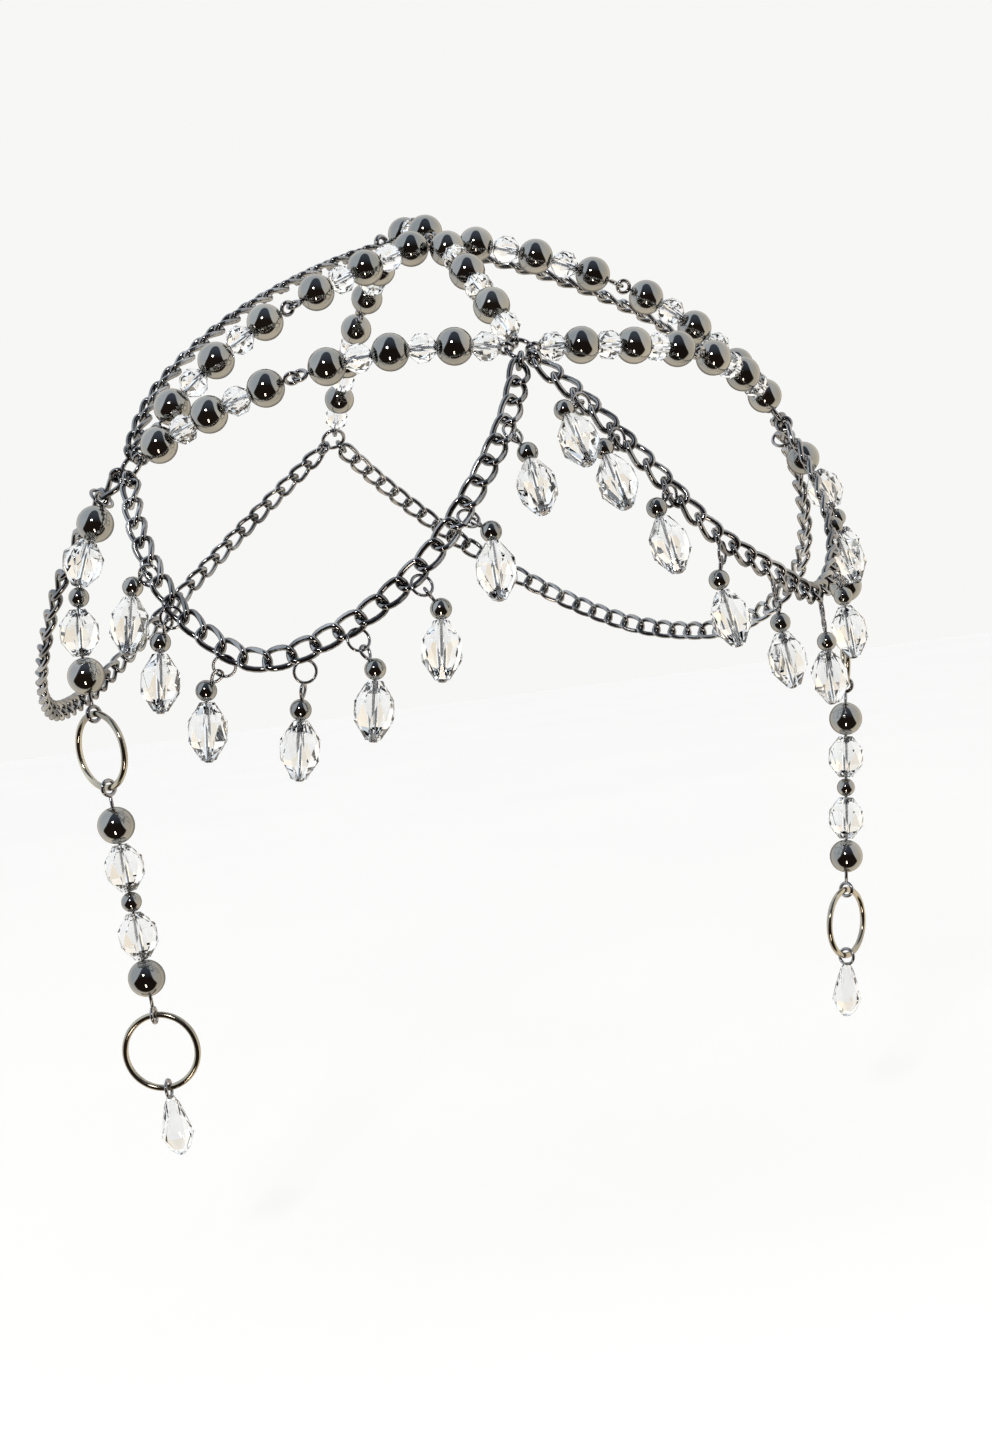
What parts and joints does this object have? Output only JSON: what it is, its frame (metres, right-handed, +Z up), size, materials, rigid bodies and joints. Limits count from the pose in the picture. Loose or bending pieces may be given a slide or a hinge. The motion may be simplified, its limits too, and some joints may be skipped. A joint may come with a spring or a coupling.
{
  "type": "beaded chain headpiece",
  "caption": "Worn crystal headpiece of ball and clear stone strings over the crown, curb chain swags with small stone drops over the brow, and long side pendants with rings.",
  "frame": {"origin": "highest point of the head form that the piece sits on, on the middle plane", "axes": "+Z up, front of the wearer towards -Y, +X to the right as seen from the front"},
  "size_m": [0.1974, 0.182, 0.2053],
  "materials": {
    "gunmetal_beads": "mirror polished gunmetal balls with clear faceted stones between them",
    "gunmetal_chain": "bright gunmetal plated curb chain",
    "gunmetal_wire": "bright gunmetal plated round wire",
    "clear_stone": "clear faceted stone on a gunmetal pin"
  },
  "bodies": {
    "root": {"back_string": "gunmetal_beads", "crown_chain_left": "gunmetal_chain", "crown_chain_right": "gunmetal_chain", "crown_string_front": "gunmetal_beads", "crown_string_left": "gunmetal_beads", "crown_string_rear": "gunmetal_beads", "crown_string_right": "gunmetal_beads", "drop_left_1": "clear_stone", "drop_left_2": "clear_stone", "drop_left_3": "clear_stone", "drop_left_4": "clear_stone", "drop_left_5": "clear_stone", "drop_left_6": "clear_stone", "drop_left_7": "clear_stone", "drop_left_8": "clear_stone", "drop_right_1": "clear_stone", "drop_right_2": "clear_stone", "drop_right_3": "clear_stone", "drop_right_4": "clear_stone", "drop_right_5": "clear_stone", "drop_right_6": "clear_stone", "drop_right_7": "clear_stone", "drop_right_8": "clear_stone", "front_string_left": "gunmetal_beads", "front_string_right": "gunmetal_beads", "front_swag_left": "gunmetal_chain", "front_swag_right": "gunmetal_chain", "junction_ring_back": "gunmetal_wire", "junction_ring_crown": "gunmetal_wire", "junction_ring_front": "gunmetal_wire", "junction_ring_left": "gunmetal_wire", "junction_ring_rear_crown": "gunmetal_wire", "junction_ring_right": "gunmetal_wire", "pendant_lower_left": "gunmetal_beads", "pendant_lower_right": "gunmetal_beads", "pendant_ring_lower_left": "gunmetal_wire", "pendant_ring_lower_right": "gunmetal_wire", "pendant_ring_upper_left": "gunmetal_wire", "pendant_ring_upper_right": "gunmetal_wire", "pendant_upper_left": "gunmetal_beads", "pendant_upper_right": "gunmetal_beads", "rear_swag_left": "gunmetal_chain", "rear_swag_right": "gunmetal_chain", "teardrop_left": "clear_stone", "teardrop_right": "clear_stone"}
  },
  "joints": []
}
